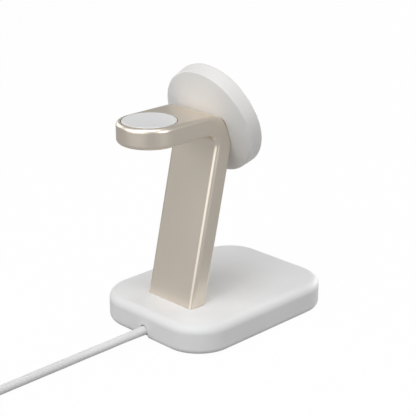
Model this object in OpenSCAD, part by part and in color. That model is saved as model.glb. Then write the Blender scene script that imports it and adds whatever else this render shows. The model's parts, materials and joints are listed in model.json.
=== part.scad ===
// Wireless charging stand for a phone, a watch and earbuds.
// The front of the stand is -Y, the back with the watch arm and the cable is +Y, and the floor is z = 0.
// The origin lies on the floor under the centre of the base.

/* [Base] */
// Width of the base
base_w = 83.5; // [80:0.5:110]
// Length of the base, front to back
base_l = 108.6; // [107:0.5:140]
// Height of the base's shell
base_h = 16.2; // [15.6:0.1:22]
// Radius of the base's corners, seen from above
corner_r = 22; // [16:0.5:25]
// Rounding of the base's upper edge
base_top_r = 4.6; // [1:0.1:6]
// Rounding of the base's lower edge
base_bottom_r = 3.1; // [0.6:0.1:3.3]
// Thickness of the base's side walls
side_wall = 3.4; // [3.4:0.1:4.4]
// Thickness of the base's top wall
top_wall = 2.6; // [2:0.1:3.4]
// Thickness of the bottom plate
plate_t = 1.8; // [1.6:0.1:2.2]
// Thickness of the rubber foot pad
foot_t = 1.4; // [1.1:0.1:1.5]
// How far the foot pad stands out below the bottom plate
foot_proud = 0.6; // [0.4:0.1:0.8]
// Distance of the foot pad's edge from the bottom plate's edge
foot_inset = 4.5; // [3:0.5:6]
// Distance of the bottom plate's screws from the sides of the base
boss_inset = 12.8; // [12:0.2:15]
// Thickness of the steel ballast
ballast_t = 4; // [3:0.2:4.4]

/* [Arm] */
// Width of the metal arm
arm_w = 34.2; // [33.4:0.2:38]
// Thickness of the metal arm
arm_t = 11.2; // [10.6:0.1:12]
// Rounding of the arm's long edges
arm_edge_r = 2.2; // [0.6:0.1:2.4]
// Height of the arm's upper face above the floor
arm_top = 121.1; // [112:0.5:150]
// Lean of the post towards the front, in degrees
lean = 12.9; // [8:0.1:16]
// Outer radius of the bend
bend_r = 17; // [16:0.1:20]
// Distance of the post behind the centre of the base, where it leaves the base
post_y = 29.9; // [27:0.1:30.4]
// Distance of the watch puck's centre behind the centre of the base
tip_y = 47.8; // [45:0.1:60]
// Width of the duct for the leads in the arm
duct_w = 16; // [12:0.2:17]
// Thickness of the duct for the leads in the arm
duct_t = 5; // [4.2:0.1:5.4]
// Thickness of the flange at the foot of the post
flange_t = 3.5; // [3:0.1:3.8]

/* [Phone head] */
// Radius of the head at its front face
head_r = 30.7; // [30.2:0.1:34]
// Radius of the head at the back of its rim
head_back_r = 30; // [29.6:0.1:30.4]
// Height of the head's front face above the flat that it seats on
head_t = 10; // [9.8:0.1:12]
// Height of the back of the rim above that flat
head_back_z = 1; // [0.6:0.1:1.2]
// Height of the domed back above the rim
head_dome = 4; // [3:0.1:4.6]
// Tilt of the phone face, in degrees from upright
head_tilt = 18.9; // [14:0.1:24]
// Height of the head's centre above the crest of the bend, along the face
head_rise = 2.2; // [1.4:0.1:3]
// Rounding of the head's front edge
head_front_r = 1.2; // [0.4:0.1:1.4]
// Rounding of the head's back edge
head_edge_r = 0.7; // [0.3:0.1:1]
// Thickness of the head's back wall
head_wall = 2; // [1.8:0.1:2.2]
// Depth of the flat that the head seats on, below the crest of the bend
seat_cut = 0.6; // [0.3:0.1:0.8]
// Radius of the soft face that the phone rests on
face_r = 28.4; // [28:0.1:28.6]
// Thickness of the soft face
face_t = 2.2; // [1.8:0.1:2.4]
// Distance of the head's screws from its middle
head_screw_x = 11; // [10.8:0.1:11.6]

/* [Watch puck] */
// Radius of the watch puck
puck_r = 14.25; // [13.6:0.05:14.3]
// Gap round the watch puck
puck_gap = 0.35; // [0.2:0.05:0.4]
// How far the watch puck stands above the arm
puck_proud = 0.25; // [0.1:0.05:0.6]
// Depth of the hollow in the puck's face
puck_dish = 0.35; // [0.1:0.05:0.5]
// Depth of the pocket that holds the puck
pocket_d = 8; // [7.8:0.1:8.6]

/* [Cable] */
// Diameter of the cable
cord_d = 4.7; // [4:0.1:4.7]
// Width of the notch that the cable leaves by
notch_w = 5.6; // [5.2:0.1:6.4]
// Height of the notch above the underside of the base
notch_h = 8; // [7.8:0.1:8.6]
// Width of the plug's grip
plug_w = 12; // [10.5:0.1:13]
// Thickness of the plug's grip
plug_t = 6.4; // [6:0.1:7]
// Length of the plug's grip
plug_l = 20; // [16:0.5:24]

/* [Hidden] */
$fn = 96;

// Clearances
fit_gap = 0.2;
nest_gap = 0.15;
thread_gap = 0.05;
over = 1;
far = 200;

// Heights in the base
shell_z = foot_proud;
shell_top = shell_z + base_h;
ceiling_z = shell_top - top_wall;
plate_top = shell_z + plate_t;
ballast_top = plate_top + ballast_t;
pad_top = foot_t;

// Bottom plate and its screws
plate_w = base_w - 2 * (side_wall + fit_gap);
plate_l = base_l - 2 * (side_wall + fit_gap);
plate_r = corner_r - side_wall - fit_gap;
boss_x = base_w / 2 - boss_inset;
boss_y = base_l / 2 - boss_inset;
boss_r = 3.2;
cup_r = 4;
cup_top = plate_top + 2;
screw_r = 1.1;
screw_head_r = 2.3;
screw_head_h = 1.5;
screw_l = 8;

// Bend: its axis runs along X at (bend_y, bend_z)
arm_mid_z = arm_top - arm_t / 2;
bend_mid_r = bend_r - arm_t / 2;
turn = 90 + lean;
lap = 0.02;
lap_run = 0.3;
tangent = bend_mid_r * tan(turn / 2);
corner_y = post_y - tan(lean) * (arm_mid_z - shell_top);
bend_y = corner_y + tangent;
bend_z = arm_mid_z - bend_mid_r;
post_end_y = corner_y + tangent * sin(lean);
post_end_z = arm_mid_z - tangent * cos(lean);

// Foot of the post
flange_z = ceiling_z - flange_t;
flange_w = 44;
flange_l = 24.4;
flange_r = 5;
flange_y = post_y + 1.6;
leg_x = 17;
leg_y = 8;
leg_r = 4;
bolt_r = 1.5;
bolt_head_r = 2.8;
bolt_head_h = 1.8;
bolt_grip = 4.4;

// Duct and leads: the leads leave the board level, turn up the post, and one turns on into the head
duct_r = 1;
lead_r = 1.1;
watch_lead_x = -4;
lead_z = flange_z - lead_r - fit_gap;
foot_bend_r = 3;
foot_tangent = foot_bend_r * tan(turn / 2);
foot_y = post_y + tan(lean) * (shell_top - lead_z);
head_bend_r = 5;
head_tangent = head_bend_r * tan((90 - lean - head_tilt) / 2);
head_bend_up = bend_mid_r * tan(lean + head_tilt) - head_tangent;
wire_hole_r = 3.2;
lead_sides = 8;

// Points of an arc of radius r round (y, z), in the plane x = 0, between two angles counted from straight
// down towards the back, in n steps
function arc_route(y, z, r, from, to, n) =
    [for (i = [0:n]) let (a = from + (to - from) * i / n) [0, y + r * sin(a), z - r * cos(a)]];

// Ballast
ballast_inset = 5.15;
ballast_w = plate_w - 2 * ballast_inset;
ballast_front = 2 * ballast_inset - base_l / 2;
ballast_gap = 0.6;
ballast_r = 6;
slot_w = 9;
slot_front = 8;

// Circuit board of the base
board_w = 54;
board_l = 24;
board_y = 4;
board_t = 1.2;
board_z = lead_z - board_t / 2;
board_boss_x = 23;
board_boss_y = 8;
board_boss_r = 2.6;
board_screw_r = 0.9;
board_screw_head_r = 1.8;
board_screw_head_h = 1.2;
board_screw_l = 4;
board_back = board_y + board_l / 2;
plug_in_l = 6;
plug_in_w = 7.4;
plug_in_drop = 1.4;
can_h = 3.2;
// Each block on the board: its corner from the board's middle, then its width, length and height
blocks = [[-16, -8, 9, 9, 2.6], [4, -8.5, 7, 7, 3], [-3, 3, 6, 5, 1.2]];
// Each round part on the board: its centre from the board's middle, then its diameter
cans = [[14, 1, 5], [-12, 6, 4]];

// Earbud coil under the top wall
pad_coil_r = 19;
pad_coil_hole_r = 6;
pad_coil_t = 1.2;
pad_ferrite_r = 20;
pad_ferrite_t = 0.8;
pad_gap = 0.9;
pad_y = side_wall + pad_gap + pad_ferrite_r - base_l / 2;

// Cable bush and the notch in the base's back
cord_r = cord_d / 2;
bush_floor = 0.6;
exit_z = plate_top + bush_floor + cord_r;
bush_w = 13;
bush_l = 6;
bush_back = base_l / 2 - side_wall;
bush_front = bush_back - bush_l;
bush_top = 9.4;
ballast_back = bush_front - ballast_gap;
rib_t = 1.6;
wire_r = 0.6;
wire_pitch = 1.5;

// Head: its own Z points out of the phone face, and z = 0 is the flat that it seats on
seat_d = bend_r - seat_cut;
rim_slope = (head_r - head_back_r) / (head_t - head_back_z);
dome_z = head_back_z - head_dome;
rim_long = sqrt(1 + rim_slope * rim_slope);
rim_angle = atan(rim_slope);
face_z = head_t - face_t;
ledge_z = head_wall + 2.2;
cavity_r = 27.4;
ledge_r = 26.2;
tray_t = 0.8;
tray_top = ledge_z + tray_t;
ring_outer_r = 27.1;
ring_inner_r = 23.2;
magnet_t = 2;
magnet_count = 18;
magnet_gap = 0.4;
coil_r = 21;
coil_hole_r = 9;
coil_t = 1;
ferrite_r = 21.6;
ferrite_t = face_z - coil_t - tray_top;
tray_wall_in = 21.9;
tray_wall_out = 22.9;
disc_board_r = 25.4;
disc_board_t = 0.8;
disc_board_z = ledge_z - disc_board_t;
stud_r = 2.4;
stud_pos = 20;
head_screw_r = 1.25;
head_screw_head_r = 2.4;
head_screw_head_h = 1.4;
head_screw_l = 6;
lead_end_d = seat_d + disc_board_z;

// Watch puck: its parts stand on the floor of the pocket
pocket_r = puck_r + puck_gap;
pocket_z = arm_top - pocket_d;
puck_top = arm_top + puck_proud;
puck_floor_t = 1.2;
puck_wall = 1.4;
puck_roof = 1.4;
puck_edge_r = 0.4;
pot_r = 12;
pot_t = 1.6;
pot_post_r = 4.8;
watch_coil_r = 11.4;
watch_coil_hole_r = 5.6;
watch_coil_t = 2.4;
watch_magnet_t = 3.4;

// Routes of the leads in the arm
foot_route = concat([[0, board_back, lead_z]],
    arc_route(foot_y - foot_tangent, lead_z + foot_bend_r, foot_bend_r, 0, turn, 8));
phone_lead_route = concat(foot_route,
    arc_route(post_end_y - head_bend_up * sin(lean) - head_bend_r * cos(lean),
        post_end_z + head_bend_up * cos(lean) - head_bend_r * sin(lean),
        head_bend_r, 90 + lean, 180 - head_tilt, 6),
    [[0, bend_y - lead_end_d * cos(head_tilt), bend_z + lead_end_d * sin(head_tilt)]]);
watch_lead_route = concat(foot_route,
    arc_route(bend_y, bend_z, bend_mid_r, 180 + turn, 180, 10),
    [[0, tip_y - pot_r - fit_gap, arm_mid_z]]);

// Cable: the route from the bush to the coil, the coil, and the route from the coil to the plug
cord_sides = 10;
run_route = [
    [0, 45, 5.35], [0, 50, 5.35], [0, 56, 5.35], [0.1, 62, 5.3], [0.5, 68, 5.05], [1.3, 74, 4.5],
    [2.2, 80, 3.9], [3.2, 86, 3.3], [4, 92, 2.8], [4.5, 98, 2.45], [4.6, 105, 2.35], [4.6, 115, 2.35],
    [4.6, 125, 2.35], [4.6, 135, 2.35], [4.6, 148, 2.35], [4.6, 160, 2.35]
];
tail_route = [
    [20.3, 215.9, 3.5], [26.8, 219.2, 2.8], [33.8, 221.4, 2.5], [41, 222, 2.9], [47, 222, 3.2], [53, 222, 3.2]
];
coil_x = 41;
coil_y = 180;
coil_outer_r = 38.75;
coil_inner_r = 17.65;
coil_h = 2 * cord_d;

// Plug
plug_x = 53;
plug_y = 222;
plug_z = plug_t / 2;
sleeve_l = 8;
sleeve_r = 2.9;
tongue_w = 8.34;
tongue_t = 2.56;
tongue_l = 6.65;
tongue_wall = 0.3;
tongue_in = 1.5;

// A rectangle with round corners, centred
module round_rect(w, h, r) {
    square([w - 2 * r, h], center = true);
    square([w, h - 2 * r], center = true);
    for (x = [-1, 1], y = [-1, 1])
        translate([x * (w / 2 - r), y * (h / 2 - r)]) circle(r);
}

// The outline of a slab's edge: its full depth d inwards, height h, rounded above and below
module slab_edge(d, h, top_r, bottom_r) {
    square([d - max(top_r, bottom_r), h]);
    translate([0, bottom_r]) square([d, h - top_r - bottom_r]);
    square([d - bottom_r, h / 2]);
    translate([0, h / 2]) square([d - top_r, h / 2]);
    translate([d - top_r, h - top_r]) circle(top_r);
    translate([d - bottom_r, bottom_r]) circle(bottom_r);
}

// A slab with round corners in plan and rounded edges, standing on z = 0
module slab(w, l, h, r, top_r, bottom_r) {
    for (x = [0, 1], y = [0, 1])
        mirror([x, 0, 0]) mirror([0, y, 0])
            translate([w / 2 - r, l / 2 - r, 0])
                rotate_extrude(angle = 90) slab_edge(r, h, top_r, bottom_r);
    for (x = [0, 1])
        mirror([x, 0, 0]) translate([w / 2 - r, l / 2 - r, 0]) rotate([90, 0, 0])
            linear_extrude(l - 2 * r) slab_edge(r, h, top_r, bottom_r);
    for (y = [0, 1])
        mirror([0, y, 0]) translate([r - w / 2, l / 2 - r, 0]) rotate([90, 0, 90])
            linear_extrude(w - 2 * r) slab_edge(r, h, top_r, bottom_r);
    translate([r - w / 2, r - l / 2, 0]) cube([w - 2 * r, l - 2 * r, h]);
}

// A sheet with round corners, standing on z = 0
module sheet(w, l, h, r) {
    linear_extrude(h) round_rect(w, l, r);
}

// Places its children at each of the four corners (x, y)
module at_corners(x, y) {
    for (sx = [-1, 1], sy = [-1, 1])
        translate([sx * x, sy * y, 0]) children();
}

// The direction of a route at its point i
function route_way(route, i) =
    let (way = route[min(i + 1, len(route) - 1)] - route[max(i - 1, 0)]) way / norm(way);

// The points of one ring of a tube round a route that never runs along the direction across
function route_ring(route, i, r, n, across) =
    let (way = route_way(route, i),
        flat = cross(way, across),
        side = flat / norm(flat),
        rise = cross(side, way))
    [for (k = [0:n - 1])
        let (a = k * 360 / n) route[i] + r * (cos(a) * side + sin(a) * rise)];

// A closed tube of radius r and n sides along a route
module tube(route, r, n, across) {
    last = len(route) - 1;
    points = [for (i = [0:last]) each route_ring(route, i, r, n, across)];
    sides = [for (i = [0:last - 1], k = [0:n - 1])
        each [[i * n + k, i * n + (k + 1) % n, (i + 1) * n + k],
            [i * n + (k + 1) % n, (i + 1) * n + (k + 1) % n, (i + 1) * n + k]]];
    ends = [[for (k = [n - 1:-1:0]) k], [for (k = [0:n - 1]) last * n + k]];
    polyhedron(points, concat(sides, ends));
}

// Places its children on an axis along X through (y, z), turned so that a rotate_extrude runs
// from the angle a, counted from straight down towards the back
module on_bend(y, z, a) {
    translate([0, y, z]) rotate([0, 90, 0]) rotate([0, 0, a]) children();
}

// A solid or bore along the arm's centreline: up the post, round the bend and out to the puck. Both
// straights run a little way into the bend, whose section is larger by a hair.
module along_arm(w, t, r) {
    on_bend(bend_y, bend_z, 180)
        rotate_extrude(angle = turn) translate([bend_mid_r, 0])
            round_rect(t + 2 * lap, w + 2 * lap, r + lap);
    on_bend(bend_y, bend_z, 180 + turn)
        translate([bend_mid_r, -lap_run, 0]) rotate([-90, 0, 0])
            linear_extrude(far) round_rect(t, w, r);
    translate([0, bend_y - lap_run, arm_mid_z]) rotate([-90, 0, 0])
        linear_extrude(tip_y - bend_y + lap_run) round_rect(w, t, r);
}

// The arm's outer form, larger all round by grow, down to the level bottom_z
module arm_form(grow, bottom_z) {
    r = arm_edge_r + grow;
    t = arm_t + 2 * grow;
    difference() {
        union() {
            along_arm(arm_w + 2 * grow, t, r);
            translate([0, tip_y, arm_mid_z - t / 2])
                rotate_extrude(angle = 180) slab_edge(arm_w / 2 + grow, t, r, r);
        }
        translate([-far, -far, bottom_z - 2 * far]) cube([2 * far, 2 * far, 2 * far]);
    }
}

// Places its children in the head's own frame
module at_head() {
    translate([0, bend_y, bend_z]) rotate([90 - head_tilt, 0, 0])
        translate([0, head_rise, seat_d]) children();
}

// Places its children at each of the head's screws, on the seat
module at_head_screws() {
    for (x = [-1, 1]) translate([x * head_screw_x, -head_rise, 0]) children();
}

// Everything behind the plane that the head seats on
module behind_seat() {
    translate([-far, -far, -far]) cube([2 * far, 2 * far, far]);
}

// A flat ring on z = 0
module ring(outer_r, inner_r, h) {
    difference() {
        cylinder(r = outer_r, h = h);
        translate([0, 0, -over]) cylinder(r = inner_r, h = h + 2 * over);
    }
}

// A pan-head screw whose head lies on z = 0 with its shank below
module pan_screw(shank_r, head_r, head_h, length) {
    difference() {
        union() {
            cylinder(r = head_r, h = head_h);
            translate([0, 0, -length]) cylinder(r = shank_r, h = length);
        }
        translate([0, 0, head_h / 2]) cylinder(r = head_r * 0.45, h = head_h, $fn = 6);
    }
}

module base_shell() {
    bore_top = cup_top + screw_l;
    color("white") difference() {
        union() {
            difference() {
                translate([0, 0, shell_z]) slab(base_w, base_l, base_h, corner_r, base_top_r, base_bottom_r);
                translate([0, 0, shell_z - over])
                    sheet(base_w - 2 * side_wall, base_l - 2 * side_wall, ceiling_z - shell_z + over,
                        corner_r - side_wall);
            }
            at_corners(boss_x, boss_y)
                translate([0, 0, cup_top]) cylinder(r = boss_r, h = ceiling_z - cup_top);
            translate([0, board_y, 0]) at_corners(board_boss_x, board_boss_y)
                translate([0, 0, board_z + board_t])
                    cylinder(r = board_boss_r, h = ceiling_z - board_z - board_t);
            for (x = [-1, 1])
                translate([x * (bush_w / 2 + fit_gap + rib_t / 2), (bush_front + bush_back) / 2,
                    (plate_top + ceiling_z) / 2])
                    cube([rib_t, bush_back - bush_front, ceiling_z - plate_top], center = true);
            translate([-bush_w / 4, bush_front, bush_top])
                cube([bush_w / 2, bush_back - bush_front, ceiling_z - bush_top]);
        }
        at_corners(boss_x, boss_y)
            translate([0, 0, cup_top - over]) cylinder(r = screw_r + thread_gap, h = screw_l + over);
        translate([0, board_y, 0]) at_corners(board_boss_x, board_boss_y)
            translate([0, 0, board_z]) cylinder(r = board_screw_r + thread_gap, h = board_t + 3.4);
        arm_form(nest_gap, ceiling_z - over);
        translate([0, base_l / 2 + over, shell_z + notch_h - notch_w / 2]) rotate([90, 0, 0])
            cylinder(d = notch_w, h = side_wall + over);
        translate([-notch_w / 2, base_l / 2 - side_wall, shell_z - over])
            cube([notch_w, side_wall + over, notch_h - notch_w / 2 + over]);
    }
}

module base_plate() {
    color("gainsboro") difference() {
        union() {
            translate([0, 0, shell_z]) sheet(plate_w, plate_l, plate_t, plate_r);
            at_corners(boss_x, boss_y) translate([0, 0, shell_z]) cylinder(r = cup_r, h = cup_top - shell_z);
        }
        translate([0, 0, shell_z - over])
            sheet(plate_w - 2 * foot_inset, plate_l - 2 * foot_inset, pad_top - shell_z + over,
                plate_r - foot_inset);
        at_corners(boss_x, boss_y) {
            translate([0, 0, pad_top - over]) cylinder(r = screw_head_r + fit_gap, h = screw_head_h + over);
            cylinder(r = screw_r + thread_gap, h = cup_top + over);
        }
    }
}

module foot_pad() {
    gap = 2 * (foot_inset + fit_gap);
    color("dimgray") sheet(plate_w - gap, plate_l - gap, foot_t, plate_r - foot_inset - fit_gap);
}

module plate_screws() {
    color("silver") at_corners(boss_x, boss_y)
        translate([0, 0, pad_top + screw_head_h]) mirror([0, 0, 1])
            pan_screw(screw_r, screw_head_r, screw_head_h, screw_l);
}

module ballast() {
    length = ballast_back - ballast_front;
    color("slategray") difference() {
        translate([0, (ballast_front + ballast_back) / 2, plate_top])
            sheet(ballast_w, length, ballast_t, ballast_r);
        at_corners(boss_x, boss_y)
            translate([0, 0, plate_top - over]) cylinder(r = cup_r + fit_gap, h = ballast_t + 2 * over);
        translate([-slot_w / 2, slot_front, plate_top - over])
            cube([slot_w, ballast_back - slot_front + over, ballast_t + 2 * over]);
        translate([0, flange_y, plate_top]) at_corners(leg_x, leg_y) {
            translate([0, 0, -over]) cylinder(r = bolt_r + thread_gap, h = ballast_t + 2 * over);
            translate([0, 0, -over]) cylinder(r = bolt_head_r + fit_gap, h = bolt_head_h + over);
        }
    }
}

module base_board() {
    top = board_z + board_t;
    color("seagreen") difference() {
        union() {
            translate([0, board_y, board_z]) sheet(board_w, board_l, board_t, 1.5);
            translate([-plug_in_w / 2, board_back - plug_in_l, exit_z - plug_in_drop])
                cube([plug_in_w, plug_in_l, board_z - exit_z + plug_in_drop]);
            for (b = blocks)
                translate([b[0], board_y + b[1], top]) cube([b[2], b[3], b[4]]);
            for (c = cans)
                translate([c[0], board_y + c[1], top]) cylinder(d = c[2], h = can_h);
        }
        translate([0, board_y, board_z - over]) at_corners(board_boss_x, board_boss_y)
            cylinder(r = board_screw_r + thread_gap, h = board_t + 2 * over);
    }
}

module board_screws() {
    color("silver") translate([0, board_y, board_z]) at_corners(board_boss_x, board_boss_y)
        mirror([0, 0, 1]) pan_screw(board_screw_r, board_screw_head_r, board_screw_head_h, board_screw_l);
}

module pad_coil() {
    color("chocolate") translate([0, pad_y, ceiling_z - pad_coil_t])
        ring(pad_coil_r, pad_coil_hole_r, pad_coil_t);
}

module pad_ferrite() {
    color("darkslategray") translate([0, pad_y, ceiling_z - pad_coil_t - pad_ferrite_t])
        cylinder(r = pad_ferrite_r, h = pad_ferrite_t);
}

module cable_bush() {
    height = bush_top - plate_top;
    color("dimgray") difference() {
        translate([-bush_w / 2, bush_front, plate_top]) cube([bush_w, bush_back - bush_front, height]);
        translate([0, bush_front - over, exit_z]) rotate([-90, 0, 0])
            cylinder(r = cord_r + thread_gap, h = bush_back - bush_front + 2 * over);
    }
}

module power_lead() {
    color("firebrick") for (x = [-1.5:1.5])
        translate([x * wire_pitch, board_back, exit_z]) rotate([-90, 0, 0])
            cylinder(r = wire_r, h = bush_front - board_back);
}

module stand_arm() {
    color("#a89c8b") difference() {
        union() {
            arm_form(0, ceiling_z - flange_t);
            translate([0, flange_y, flange_z]) sheet(flange_w, flange_l, flange_t, flange_r);
            translate([0, flange_y, ballast_top]) at_corners(leg_x, leg_y)
                cylinder(r = leg_r, h = ceiling_z - ballast_top);
        }
        along_arm(duct_w, duct_t, duct_r);
        translate([0, tip_y, pocket_z]) cylinder(r = pocket_r, h = pocket_d + over);
        translate([0, flange_y, ballast_top - over]) at_corners(leg_x, leg_y)
            cylinder(r = bolt_r + thread_gap, h = bolt_grip + 1 + over);
        at_head() {
            translate([-far, -far, 0]) cube([2 * far, 2 * far, far]);
            translate([0, -head_rise, -seat_cut - bend_mid_r / 2]) cylinder(r = wire_hole_r, h = far);
            at_head_screws() translate([0, 0, -head_screw_l])
                cylinder(r = head_screw_r + thread_gap, h = far);
        }
    }
}

module arm_bolts() {
    color("silver") translate([0, flange_y, plate_top + bolt_head_h]) at_corners(leg_x, leg_y)
        mirror([0, 0, 1])
            pan_screw(bolt_r, bolt_head_r, bolt_head_h, ballast_t - bolt_head_h + bolt_grip);
}

module head_outline() {
    front_x = head_r - rim_slope * head_front_r - head_front_r * rim_long;
    back_x = head_back_r + rim_slope * head_edge_r - head_edge_r * rim_long;
    dome_r = (back_x * back_x + head_dome * head_dome) / (2 * head_dome);
    polygon([
        [0, head_back_z], [back_x, head_back_z], [back_x, head_back_z + head_edge_r],
        [back_x + head_edge_r * cos(rim_angle), head_back_z + head_edge_r - head_edge_r * sin(rim_angle)],
        [front_x + head_front_r * cos(rim_angle), head_t - head_front_r - head_front_r * sin(rim_angle)],
        [front_x, head_t - head_front_r], [front_x, head_t], [0, head_t]
    ]);
    translate([front_x, head_t - head_front_r]) circle(head_front_r);
    translate([back_x, head_back_z + head_edge_r]) circle(head_edge_r);
    intersection() {
        translate([0, dome_z + dome_r]) circle(dome_r, $fn = 360);
        translate([0, dome_z - over]) square([back_x, head_dome + over]);
    }
}

module head_shell() {
    color("whitesmoke") difference() {
        at_head() difference() {
            union() {
                difference() {
                    rotate_extrude() head_outline();
                    translate([0, 0, head_wall]) cylinder(r = ledge_r, h = head_t);
                    translate([0, 0, ledge_z]) cylinder(r = cavity_r, h = head_t);
                    translate([0, 0, face_z]) cylinder(r = face_r + fit_gap, h = head_t);
                }
                for (a = [90, 210, 330])
                    rotate(a) translate([stud_pos, 0, head_wall])
                        cylinder(r = stud_r, h = disc_board_z - head_wall);
            }
            at_head_screws() translate([0, 0, dome_z - over])
                cylinder(r = head_screw_r + fit_gap, h = head_t);
            translate([0, -head_rise, dome_z - over]) cylinder(r = wire_hole_r, h = head_t);
        }
        intersection() {
            arm_form(nest_gap, shell_top);
            at_head() behind_seat();
        }
    }
}

module head_face() {
    color("white") at_head() translate([0, 0, face_z]) cylinder(r = face_r, h = face_t);
}

module magnet_ring() {
    outer = ring_outer_r;
    color("silver") at_head() translate([0, 0, face_z - magnet_t]) difference() {
        ring(outer, ring_inner_r, magnet_t);
        for (i = [0:magnet_count - 1])
            rotate(i * 360 / magnet_count) translate([0, -magnet_gap / 2, -over])
                cube([far, magnet_gap, magnet_t + 2 * over]);
    }
}

module shunt_ring() {
    color("slategray") at_head() translate([0, 0, tray_top])
        ring(ring_outer_r, ring_inner_r, face_z - magnet_t - tray_top);
}

module phone_coil() {
    color("chocolate") at_head() translate([0, 0, face_z - coil_t]) ring(coil_r, coil_hole_r, coil_t);
}

module phone_ferrite() {
    color("darkslategray") at_head() translate([0, 0, tray_top]) cylinder(r = ferrite_r, h = ferrite_t);
}

module coil_tray() {
    color("gainsboro") at_head() {
        translate([0, 0, ledge_z]) cylinder(r = ring_outer_r, h = tray_t);
        translate([0, 0, tray_top]) ring(tray_wall_out, tray_wall_in, face_z - tray_top);
    }
}

module head_board() {
    color("seagreen") at_head() difference() {
        translate([0, 0, disc_board_z]) cylinder(r = disc_board_r, h = disc_board_t);
        at_head_screws() translate([0, 0, disc_board_z - over])
            cylinder(r = head_screw_head_r + 0.4, h = disc_board_t + 2 * over);
    }
}

module head_screws() {
    color("silver") at_head() at_head_screws() translate([0, 0, head_wall])
        pan_screw(head_screw_r, head_screw_head_r, head_screw_head_h, head_wall + head_screw_l - 0.5);
}

module phone_lead() {
    color("black") tube(phone_lead_route, lead_r, lead_sides, [1, 0, 0]);
}

module watch_lead() {
    color("black") translate([watch_lead_x, 0, 0]) tube(watch_lead_route, lead_r, lead_sides, [1, 0, 0]);
}

module watch_cap() {
    height = puck_top - pocket_z - puck_floor_t;
    dish_r = (puck_r * puck_r + puck_dish * puck_dish) / (2 * puck_dish);
    slot_z = arm_mid_z - pocket_z - puck_floor_t;
    slot_r = lead_r + fit_gap;
    color("white") translate([0, tip_y, pocket_z + puck_floor_t]) difference() {
        rotate_extrude() difference() {
            slab_edge(puck_r, height, puck_edge_r, puck_edge_r / 2);
            translate([0, height - puck_dish + dish_r]) circle(dish_r, $fn = 360);
        }
        translate([0, 0, -over]) cylinder(r = puck_r - puck_wall, h = height - puck_roof + over);
        translate([watch_lead_x, 0, slot_z]) rotate([90, 0, 0]) cylinder(r = slot_r, h = puck_r + over);
        translate([watch_lead_x - slot_r, -puck_r - over, -over])
            cube([2 * slot_r, puck_r + over, slot_z + over]);
    }
}

module watch_base() {
    color("gainsboro") translate([0, tip_y, pocket_z]) cylinder(r = puck_r, h = puck_floor_t);
}

module watch_ferrite() {
    color("darkslategray") translate([0, tip_y, pocket_z + puck_floor_t]) ring(pot_r, pot_post_r, pot_t);
}

module watch_coil() {
    color("chocolate") translate([0, tip_y, pocket_z + puck_floor_t + pot_t])
        ring(watch_coil_r, watch_coil_hole_r, watch_coil_t);
}

module watch_magnet() {
    color("silver") translate([0, tip_y, pocket_z + puck_floor_t])
        cylinder(r = pot_post_r - fit_gap, h = watch_magnet_t);
}

module cable_run() {
    color("whitesmoke") tube(run_route, cord_r, cord_sides, [0, 0, 1]);
}

module cable_coil() {
    width = coil_outer_r - coil_inner_r;
    color("whitesmoke") translate([coil_x, coil_y, 0])
        rotate_extrude() translate([coil_inner_r + width / 2, coil_h / 2])
            round_rect(width, coil_h, cord_r);
}

module cable_tail() {
    color("whitesmoke") tube(tail_route, cord_r, cord_sides, [0, 0, 1]);
}

module plug_grip() {
    color("white") difference() {
        union() {
            translate([plug_x + sleeve_l, plug_y, plug_z]) rotate([90, 0, 90])
                linear_extrude(plug_l) round_rect(plug_w, plug_t, 2.6);
            translate([plug_x, plug_y, plug_z]) rotate([0, 90, 0])
                cylinder(r1 = cord_r + 0.2, r2 = sleeve_r, h = sleeve_l);
        }
        translate([plug_x + sleeve_l + plug_l - tongue_in, plug_y, plug_z]) rotate([90, 0, 90])
            linear_extrude(tongue_in + over) round_rect(tongue_w, tongue_t, 1.2);
    }
}

module plug_shell() {
    color("silver") translate([plug_x + sleeve_l + plug_l - tongue_in, plug_y, plug_z]) rotate([90, 0, 90])
        difference() {
            linear_extrude(tongue_in + tongue_l) round_rect(tongue_w, tongue_t, 1.2);
            translate([0, 0, tongue_in]) linear_extrude(tongue_l + over)
                round_rect(tongue_w - 2 * tongue_wall, tongue_t - 2 * tongue_wall, 0.9);
        }
}

base_shell();
base_plate();
foot_pad();
ballast();
plate_screws();
base_board();
board_screws();
pad_coil();
pad_ferrite();
cable_bush();
power_lead();
stand_arm();
arm_bolts();
phone_lead();
watch_lead();
head_shell();
head_face();
magnet_ring();
shunt_ring();
phone_coil();
phone_ferrite();
coil_tray();
head_board();
head_screws();
watch_cap();
watch_base();
watch_coil();
watch_ferrite();
watch_magnet();
cable_run();
cable_coil();
cable_tail();
plug_grip();
plug_shell();
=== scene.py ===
"""Looks of the wireless charging stand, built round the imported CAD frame.

Blender's lengths are metres. The cord, its coil and the small pieces on them are laid out in
millimetres, as in part.scad, and MM turns them into metres where their meshes are made.
"""
import json
import math

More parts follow.
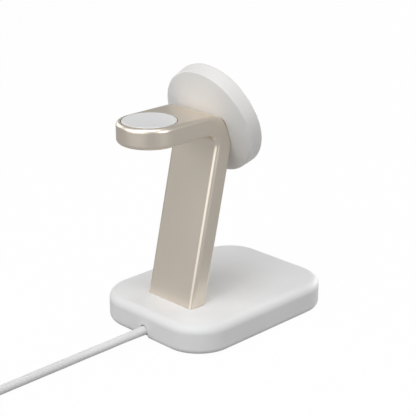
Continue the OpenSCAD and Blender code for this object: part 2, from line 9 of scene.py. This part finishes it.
import bmesh
import bpy
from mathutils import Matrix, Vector


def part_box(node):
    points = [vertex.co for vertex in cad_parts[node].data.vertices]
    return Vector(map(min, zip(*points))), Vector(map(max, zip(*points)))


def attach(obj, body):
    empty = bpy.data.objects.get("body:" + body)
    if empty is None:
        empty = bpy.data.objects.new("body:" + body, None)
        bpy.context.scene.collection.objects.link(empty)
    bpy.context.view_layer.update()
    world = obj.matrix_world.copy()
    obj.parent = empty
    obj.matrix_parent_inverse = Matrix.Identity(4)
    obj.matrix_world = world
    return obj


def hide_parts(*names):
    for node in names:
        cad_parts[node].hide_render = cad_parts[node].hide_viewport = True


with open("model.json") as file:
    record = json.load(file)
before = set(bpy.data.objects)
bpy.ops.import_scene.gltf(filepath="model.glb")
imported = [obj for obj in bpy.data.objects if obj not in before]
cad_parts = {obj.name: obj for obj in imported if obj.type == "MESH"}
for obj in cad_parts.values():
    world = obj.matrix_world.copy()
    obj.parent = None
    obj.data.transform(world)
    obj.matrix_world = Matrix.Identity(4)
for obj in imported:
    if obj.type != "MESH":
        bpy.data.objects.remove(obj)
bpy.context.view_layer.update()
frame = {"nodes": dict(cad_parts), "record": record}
scene = bpy.context.scene
nodes = frame["nodes"]
MM = 0.001

# Camera, fitted to the photograph: pixels, then millimetres, then metres
IMAGE_SIDE, FOCAL_PIXELS, SENSOR_W = 416, 1234.82, 36.0
CAMERA_AT, CAMERA_AIM = (-449.4, 451.2, 296.8), (-2.33, 8.11, 63.94)
CLIP_NEAR, CLIP_FAR = 0.05, 20

# Cord: the route of part.scad up to the coil, and from the coil to the plug
CORD_D = 4.7
CORD_R = CORD_D / 2
EXIT_Y, EXIT_Z = 54.3, 5.35
RUN = [(0, EXIT_Y, EXIT_Z), (0, 56, EXIT_Z), (0.1, 62, 5.3), (0.5, 68, 5.05), (1.3, 74, 4.5),
       (2.2, 80, 3.9), (3.2, 86, 3.3), (4, 92, 2.8), (4.5, 98, 2.45), (4.6, 105, 2.35),
       (4.6, 115, 2.35), (4.6, 125, 2.35), (4.6, 135, 2.35), (4.6, 148, 2.35),
       (4.6, 160, 2.35), (4.6, 170, 2.35)]
RISE = [(4.7, 186.4, 7.0), (5.5, 192.9, 6.7), (7.4, 199.4, 6.1), (10.5, 205.6, 5.3),
        (15.0, 211.0, 4.4)]
TAIL = [(20.3, 215.9, 3.5), (26.8, 219.2, 2.8), (33.8, 221.4, 2.5), (41, 222, 2.9),
        (47, 222, 3.2), (53, 222, 3.2)]
CORD_STEP, CORD_BEVEL = 3.0, 6

# Coil: its middle, the radius of its outermost turn, and the turns in each of its two layers
COIL_X, COIL_Y, COIL_R, PITCH, TURNS = 41.0, 180.0, 36.4, 4.7, 3.5
COIL_STEP = 10
LOWER_Z, UPPER_Z = CORD_R, 3 * CORD_R
CLIMB_POINTS, LOWER_CLIMB, UPPER_CLIMB = 3, 0.9, 0.55

# Strap round the coil: where it sits, then the loop that it makes in (radius, height)
TIE_ANGLE, TIE_REACH, TIE_SLACK = 45, 45, 0.04
TIE_T, TIE_W, TIE_ROWS = 0.6, 7.0, 7
TIE_NEAR, TIE_FAR, TIE_TOP, TIE_CORNER = 18.1, 37.1, 10.1, 2.3
FLAP_NEAR, FLAP_FAR, FLAP_SHARE = 22.0, 34.0, 0.94
FLAP_T, FLAP_SINK, FLAP_RIM = 0.5, 0.1, 0.4
FLAP_CORNERS, FLAP_STEPS = (0.12, 0.25), 3

# Strain relief: places along Y, its oval radii at the wall, at its end and in its bore, and how
# many points of RUN it follows
RELIEF_INSIDE, RELIEF_END, RELIEF_TAPER, RELIEF_STEP = (51.1, 52.7), 66, 11, 0.6
RELIEF_WIDE, RELIEF_TALL, RELIEF_THIN, RELIEF_BORE = 2.76, 2.5, 2.37, 2.34
RELIEF_POINTS, RELIEF_CURVE, RING_SEGMENTS = 7, 0.6, 48

# Inside of the plug's shell
SHELL_WALL, LINING_WALL, LINING_CORNER = 0.35, 0.3, 0.8
LINING_DEPTH, LINING_SETBACK = 5.9, 0.5
CONTACTS, CONTACT_PITCH, CONTACT_SIZE = 12, 0.5, (3.6, 0.24, 0.14)
CONTACT_SETBACK, CONTACT_RISE, CONTACT_BEVEL = 2.3, 0.04, 0.03

# What all materials share: noise detail, the ramp's two ends, and the bump in metres
CLOUD_DETAIL, GRAIN_DETAIL = 3, 2
RAMP_ENDS, ROUGH_VARY, BUMP_HEIGHT = (0.3, 0.7), 0.03, 0.0001

# Floor and sky: how bright the camera sees them, and how bright metal and gloss mirror them
FLOOR_HALF, FLOOR_GREY, FLOOR_GLOW = 6, 0.35, 1.027
FLOOR_SEEN, FLOOR_MIRRORED = 0.95, 0.16
SKY_SEEN, SKY_MIRRORED, SKY_LIGHT = 1.0, 0.44, 0.08

# Lamps: azimuth from +X towards +Y, elevation, diameter in metres, watts
LAMP_AIM, LAMP_DISTANCE = (0, 0, 0.07), 1.4
LAMPS = (
    ("top", 128, 71, 1.2, 10.3),
    ("rear_right", 55, 35, 0.8, 3.1),
    ("rear", 96, 48, 0.8, 3.4),
    ("rear_low", 93, 8, 1.8, 9.4),
    ("side_left", 185, 18, 0.8, 5.4),
    ("side_right", 0, 20, 0.8, 3),
    ("front", 270, 10, 0.8, 12),
)


def add_object(name, data):
    piece = bpy.data.objects.new(name, data)
    scene.collection.objects.link(piece)
    return piece


def add_camera():
    data = bpy.data.cameras.new("camera")
    data.sensor_width = SENSOR_W
    data.lens = SENSOR_W * FOCAL_PIXELS / IMAGE_SIDE
    data.clip_start, data.clip_end = CLIP_NEAR, CLIP_FAR
    camera = add_object("camera", data)
    camera.location = Vector(CAMERA_AT) * MM
    aim = Vector(CAMERA_AIM) * MM - camera.location
    camera.rotation_euler = aim.to_track_quat("-Z", "Y").to_euler()
    scene.camera = camera


# Cord
def tie_lift(angle):
    """The turns rise a little where the strap passes under them."""
    away = abs((angle - TIE_ANGLE + 180) % 360 - 180) / TIE_REACH
    return 0 if away >= 1 else (TIE_T + TIE_SLACK) * (1 - away * away) ** 2


def coil_points():
    """Two flat layers: inwards on the floor, up at the inner end, and outwards again on top."""
    points, count = [], int(TURNS * 360 / COIL_STEP)
    for layer in (0, 1):
        for i in range(2 * layer, count + 1):
            inward = 1 - i / count if layer else i / count
            r = COIL_R - PITCH * TURNS * inward
            angle = 180 - COIL_STEP * i - layer * TURNS * 360
            if layer:
                z = UPPER_Z - max(0, CLIMB_POINTS + 1 - i) * UPPER_CLIMB
            else:
                z = LOWER_Z + max(0, CLIMB_POINTS - count + i) * LOWER_CLIMB
            a = math.radians(angle)
            points.append((COIL_X + r * math.cos(a), COIL_Y + r * math.sin(a), z + tie_lift(angle)))
    return points


def smooth(points, step):
    """A Catmull-Rom curve through the points, sampled about every step millimetres."""
    out, p = [], [Vector(q) for q in points]
    p = [2 * p[0] - p[1]] + p + [2 * p[-1] - p[-2]]
    for a, b, c, d in zip(p, p[1:], p[2:], p[3:]):
        n = max(1, round((c - b).length / step))
        for i in range(n):
            t = i / n
            out.append(0.5 * (2 * b + (c - a) * t + (2 * a - 5 * b + 4 * c - d) * t * t
                              + (3 * b - a - 3 * c + d) * t ** 3))
    return out + [p[-2]]


def tube_curve(name, points, radius):
    data = bpy.data.curves.new(name, "CURVE")
    data.dimensions = "3D"
    data.bevel_depth = radius * MM
    data.bevel_resolution = CORD_BEVEL
    data.use_fill_caps = True
    spline = data.splines.new("POLY")
    spline.points.add(len(points) - 1)
    for point, q in zip(spline.points, points):
        point.co = (q[0] * MM, q[1] * MM, q[2] * MM, 1)
        point.radius = 1
    spline.use_smooth = True
    return add_object(name, data)


# Meshes
def link_mesh(name, bm, smooth_angle=None):
    """Smooth shading, broken at edges sharper than smooth_angle degrees."""
    mesh = bpy.data.meshes.new(name)
    bmesh.ops.recalc_face_normals(bm, faces=bm.faces)
    bm.to_mesh(mesh)
    bm.free()
    piece = add_object(name, mesh)
    for p in mesh.polygons:
        p.use_smooth = True
    if smooth_angle:
        mesh.set_sharp_from_angle(angle=math.radians(smooth_angle))
    return piece


def join_loops(bm, a, b):
    """A band of quads between two closed loops with as many vertices each."""
    for corners in zip(a, a[1:] + a[:1], b[1:] + b[:1], b):
        bm.faces.new(corners)


def ring_tube(name, centres, outer, bore):
    """A sleeve round a nearly straight line: oval rings of (side, up) radii, then back inside."""
    bm = bmesh.new()
    rings, last = [], len(centres) - 1
    turns = [2 * math.pi * k / RING_SEGMENTS for k in range(RING_SEGMENTS)]
    there = list(enumerate(outer))
    back = [(i, (bore, bore)) for i in range(last, -1, -1)]
    for i, (wide, tall) in there + back:
        c = Vector(centres[i])
        way = Vector(centres[min(i + 1, last)]) - Vector(centres[max(i - 1, 0)])
        side = way.cross(Vector((0, 0, 1))).normalized()
        up = side.cross(way).normalized()
        rings.append([bm.verts.new((c + wide * math.cos(t) * side + tall * math.sin(t) * up) * MM)
                      for t in turns])
    for a, b in zip(rings, rings[1:] + rings[:1]):
        join_loops(bm, a, b)
    return link_mesh(name, bm, smooth_angle=40)


def rounded_loop(x0, x1, y0, y1, r, steps=8):
    """The outline of a rectangle with round corners, as (x, y) pairs."""
    corners = ((x1 - r, y1 - r, 0), (x0 + r, y1 - r, 90),
               (x0 + r, y0 + r, 180), (x1 - r, y0 + r, 270))
    turns = [(x, y, math.radians(a + 90 * k / steps))
             for x, y, a in corners for k in range(steps + 1)]
    return [(x + r * math.cos(t), y + r * math.sin(t)) for x, y, t in turns]


def loop_band(bm, inner, outer, rows, place):
    """A closed band between two loops, drawn once for each row; place gives a point's position."""
    sheets = [[[bm.verts.new(place(x, y, row)) for x, y in loop] for row in rows]
              for loop in (inner, outer)]
    for side in sheets:
        for a, b in zip(side, side[1:]):
            join_loops(bm, a, b)
    for end in (0, -1):
        join_loops(bm, sheets[0][end], sheets[1][end])


# Small pieces on the cord
def add_relief():
    """The short tapered sleeve that fills the notch beside the cord and runs out along it."""
    path = [(0, y, EXIT_Z) for y in RELIEF_INSIDE]
    path += [q for q in smooth(RUN[:RELIEF_POINTS], RELIEF_STEP) if q[1] < RELIEF_END]
    run = [min(1, max(0, (q[1] - EXIT_Y) / RELIEF_TAPER)) for q in path]
    radii = [(RELIEF_WIDE - (RELIEF_WIDE - RELIEF_THIN) * t ** RELIEF_CURVE,
              RELIEF_TALL - (RELIEF_TALL - RELIEF_THIN) * t) for t in run]
    return ring_tube("cord_relief", path, radii, RELIEF_BORE)


def add_tie():
    """A strap round the bundle of the coil, closed with an overlap on its top."""
    a = math.radians(TIE_ANGLE)
    out, along = Vector((math.cos(a), math.sin(a), 0)), Vector((-math.sin(a), math.cos(a), 0))
    middle = Vector((COIL_X, COIL_Y, 0))

    def place(r, z, s):
        return (middle + out * math.sqrt(r * r - s * s) + along * s + Vector((0, 0, z))) * MM

    bm = bmesh.new()
    rows = [TIE_W * (k / (TIE_ROWS - 1) - 0.5) for k in range(TIE_ROWS)]
    top = TIE_TOP + TIE_T
    loop_band(bm, rounded_loop(TIE_NEAR, TIE_FAR, TIE_T, TIE_TOP, TIE_CORNER),
              rounded_loop(TIE_NEAR - TIE_T, TIE_FAR + TIE_T, 0, top, TIE_CORNER + TIE_T),
              rows, place)
    loop_band(bm, rounded_loop(FLAP_NEAR + FLAP_RIM, FLAP_FAR - FLAP_RIM,
                               top - FLAP_SINK / 2, top + FLAP_T / 2,
                               FLAP_CORNERS[0], FLAP_STEPS),
              rounded_loop(FLAP_NEAR, FLAP_FAR, top - FLAP_SINK, top + FLAP_T,
                           FLAP_CORNERS[1], FLAP_STEPS),
              [s * FLAP_SHARE for s in rows], place)
    return link_mesh("coil_tie", bm, smooth_angle=35)


def add_plug_inside():
    """The dark lining in the plug's shell, and the two rows of contacts on it."""
    low, high = [Vector(c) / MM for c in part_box("plug_shell")]
    y, z = (low[1] + high[1]) / 2, (low[2] + high[2]) / 2
    half_w, half_t = (high[1] - low[1]) / 2 - SHELL_WALL, (high[2] - low[2]) / 2 - SHELL_WALL
    start, end = high[0] - LINING_DEPTH, high[0] - LINING_SETBACK

    def lining_loop(wall, corner):
        return rounded_loop(y - half_w + wall, y + half_w - wall,
                            z - half_t + wall, z + half_t - wall, corner)

    bm = bmesh.new()
    loop_band(bm, lining_loop(LINING_WALL, LINING_CORNER - LINING_WALL),
              lining_loop(0, LINING_CORNER), (start, end),
              lambda p, q, x: Vector((x, p, q)) * MM)
    lining = link_mesh("plug_lining", bm, smooth_angle=35)
    bm = bmesh.new()
    size = Vector(CONTACT_SIZE)
    for side in (-1, 1):
        for k in range(CONTACTS):
            middle = Vector((end - CONTACT_SETBACK, y + (k - (CONTACTS - 1) / 2) * CONTACT_PITCH,
                             z + side * (half_t - LINING_WALL - CONTACT_RISE)))
            for v in bmesh.ops.create_cube(bm, size=1)["verts"]:
                v.co = (middle + v.co * size) * MM
    bmesh.ops.bevel(bm, geom=bm.edges[:], offset=CONTACT_BEVEL * MM, segments=1, affect="EDGES")
    contacts = link_mesh("plug_contacts", bm, smooth_angle=30)
    return lining, contacts


# Materials
def material(name, color, rough, metallic=0.0, vary=0.015, vary_scale=60.0, grain=0.0,
             grain_scale=2500.0, **sockets):
    """A principled material whose colour, roughness and surface come from object-space noise."""
    m = bpy.data.materials.new(name)
    m.use_nodes = True
    tree = m.node_tree
    bsdf = tree.nodes["Principled BSDF"]
    new, link = tree.nodes.new, tree.links.new
    place = new("ShaderNodeTexCoord")

    def noise(scale, detail):
        node = new("ShaderNodeTexNoise")
        node.inputs["Scale"].default_value = scale
        node.inputs["Detail"].default_value = detail
        link(place.outputs["Object"], node.inputs["Vector"])
        return node.outputs["Fac"]

    ramp = new("ShaderNodeValToRGB")
    for stop, position, sign in zip(ramp.color_ramp.elements, RAMP_ENDS, (-1, 1)):
        stop.position = position
        stop.color = tuple(c * (1 + sign * vary) for c in color) + (1,)
    link(noise(vary_scale, CLOUD_DETAIL), ramp.inputs["Fac"])
    link(ramp.outputs["Color"], bsdf.inputs["Base Color"])
    fine = noise(grain_scale, GRAIN_DETAIL)
    spread = new("ShaderNodeMapRange")
    spread.inputs["To Min"].default_value = rough - ROUGH_VARY
    spread.inputs["To Max"].default_value = rough + ROUGH_VARY
    link(fine, spread.inputs["Value"])
    link(spread.outputs["Result"], bsdf.inputs["Roughness"])
    if grain:
        bump = new("ShaderNodeBump")
        bump.inputs["Strength"].default_value = grain
        bump.inputs["Distance"].default_value = BUMP_HEIGHT
        link(fine, bump.inputs["Height"])
        link(bump.outputs["Normal"], bsdf.inputs["Normal"])
    bsdf.inputs["Metallic"].default_value = metallic
    for key, value in sockets.items():
        bsdf.inputs[key.replace("_", " ")].default_value = value
    return m


# Each slot's colour and roughness, and what else its material is told
LOOKS = {
    "base_white": ((0.75, 0.75, 0.755), 0.5, {"grain": 0.12, "Specular_IOR_Level": 0.3}),
    "head_white": ((0.742, 0.733, 0.72), 0.45, {"grain": 0.06, "Specular_IOR_Level": 0.35}),
    "arm_metal": ((0.79, 0.717, 0.622), 0.35,
                  {"metallic": 1.0, "vary": 0.02, "vary_scale": 35, "grain": 0.03}),
    "puck_white": ((0.73, 0.73, 0.735), 0.3, {"grain": 0.02}),
    "soft_face": ((0.72, 0.72, 0.725), 0.6, {"grain": 0.1}),
    "plate_plastic": ((0.6, 0.6, 0.605), 0.55, {"grain": 0.15}),
    "foot_rubber": ((0.1, 0.1, 0.105), 0.8, {"grain": 0.3}),
    "ballast_steel": ((0.35, 0.36, 0.38), 0.4, {"metallic": 1.0, "grain": 0.08}),
    "screw_steel": ((0.62, 0.62, 0.63), 0.3, {"metallic": 1.0, "grain": 0.03}),
    "board": ((0.02, 0.13, 0.055), 0.4, {"vary": 0.12, "vary_scale": 220, "grain": 0.05}),
    "copper": ((0.62, 0.25, 0.11), 0.32, {"metallic": 1.0, "grain": 0.2, "grain_scale": 1800}),
    "ferrite": ((0.035, 0.037, 0.04), 0.6, {"grain": 0.2}),
    "bush_rubber": ((0.12, 0.12, 0.122), 0.6, {"grain": 0.1}),
    "lead_red": ((0.4, 0.02, 0.015), 0.45, {"grain": 0.03}),
    "lead_black": ((0.015, 0.015, 0.016), 0.45, {"grain": 0.03}),
    "magnet": ((0.66, 0.66, 0.68), 0.22, {"metallic": 1.0, "grain": 0.02}),
    "cord_grey": ((0.74, 0.74, 0.745), 0.5, {"vary": 0.012, "grain": 0.015}),
    "plug_white": ((0.76, 0.76, 0.765), 0.3, {"grain": 0.02}),
    "plug_metal": ((0.6, 0.6, 0.62), 0.25, {"metallic": 1.0, "grain": 0.03}),
}
MATERIALS = {name: material(name, color, rough, **more)
             for name, (color, rough, more) in LOOKS.items()}


def dress_nodes():
    """Every CAD node takes the material of its slot."""
    for part in frame["record"]["subparts"]:
        obj = nodes[part["node"]]
        obj.data.materials.clear()
        obj.data.materials.append(MATERIALS[part["material_slot"]])


def finish_piece(piece, slot, *replaced):
    piece.data.materials.append(MATERIALS[slot])
    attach(piece, "root")
    if replaced:
        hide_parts(*replaced)
    return piece


# Floor, world and lamps
def math_node(tree, operation, value, *sources):
    """A Math node with a fixed second value, unless a second source is linked there."""
    node = tree.nodes.new("ShaderNodeMath")
    node.operation = operation
    node.inputs[1].default_value = value
    for socket, source in zip(node.inputs, sources):
        tree.links.new(source, socket)
    return node.outputs[0]


def seen_share(tree, camera, mirrored):
    """A value for camera rays, a lower one for glossy and transmission rays, 0 for all others."""
    path = tree.nodes.new("ShaderNodeLightPath").outputs
    either = math_node(tree, "MAXIMUM", 0, path["Is Glossy Ray"], path["Is Transmission Ray"])
    return math_node(tree, "MAXIMUM", 0, math_node(tree, "MULTIPLY", mirrored, either),
                     math_node(tree, "MULTIPLY", camera, path["Is Camera Ray"]))


def add_floor():
    bm = bmesh.new()
    bmesh.ops.create_grid(bm, x_segments=1, y_segments=1, size=FLOOR_HALF)
    floor = link_mesh("floor", bm)
    m = bpy.data.materials.new("floor_white")
    m.use_nodes = True
    tree = m.node_tree
    new, link = tree.nodes.new, tree.links.new
    bsdf = tree.nodes["Principled BSDF"]
    bsdf.inputs["Base Color"].default_value = (FLOOR_GREY, FLOOR_GREY, FLOOR_GREY, 1)
    bsdf.inputs["Roughness"].default_value = 1
    bsdf.inputs["Specular IOR Level"].default_value = 0
    glow = new("ShaderNodeEmission")
    glow.inputs["Strength"].default_value = FLOOR_GLOW
    mix = new("ShaderNodeMixShader")
    link(seen_share(tree, FLOOR_SEEN, FLOOR_MIRRORED), mix.inputs[0])
    link(bsdf.outputs[0], mix.inputs[1])
    link(glow.outputs[0], mix.inputs[2])
    link(mix.outputs[0], tree.nodes["Material Output"].inputs["Surface"])
    floor.data.materials.append(m)


def add_sky():
    scene.world = bpy.data.worlds.new("studio")
    scene.world.use_nodes = True
    tree = scene.world.node_tree
    back = tree.nodes["Background"]
    back.inputs["Color"].default_value = (1, 1, 1, 1)
    level = math_node(tree, "MAXIMUM", SKY_LIGHT, seen_share(tree, SKY_SEEN, SKY_MIRRORED))
    tree.links.new(level, back.inputs["Strength"])


def add_lamp(name, azimuth, elevation, size, power):
    """A round soft lamp that looks at the middle of the object."""
    data = bpy.data.lights.new(name, "AREA")
    data.shape, data.size, data.energy = "DISK", size, power
    lamp = add_object(name, data)
    a, e = math.radians(azimuth), math.radians(elevation)
    way = Vector((math.cos(e) * math.cos(a), math.cos(e) * math.sin(a), math.sin(e)))
    lamp.location = Vector(LAMP_AIM) + way * LAMP_DISTANCE
    lamp.rotation_euler = (-way).to_track_quat("-Z", "Y").to_euler()


add_camera()
cord_path = smooth(RUN + coil_points() + RISE + TAIL, CORD_STEP)
cord = finish_piece(tube_curve("cord", cord_path, CORD_R), "cord_grey",
                    "cable_run", "cable_coil", "cable_tail")
relief = finish_piece(add_relief(), "cord_grey")
tie = finish_piece(add_tie(), "bush_rubber")
lining, contacts = add_plug_inside()
finish_piece(lining, "bush_rubber")
finish_piece(contacts, "copper")
dress_nodes()
add_floor()
add_sky()
for lamp in LAMPS:
    add_lamp(*lamp)

scene.view_settings.view_transform = "Standard"
bpy.context.view_layer.update()
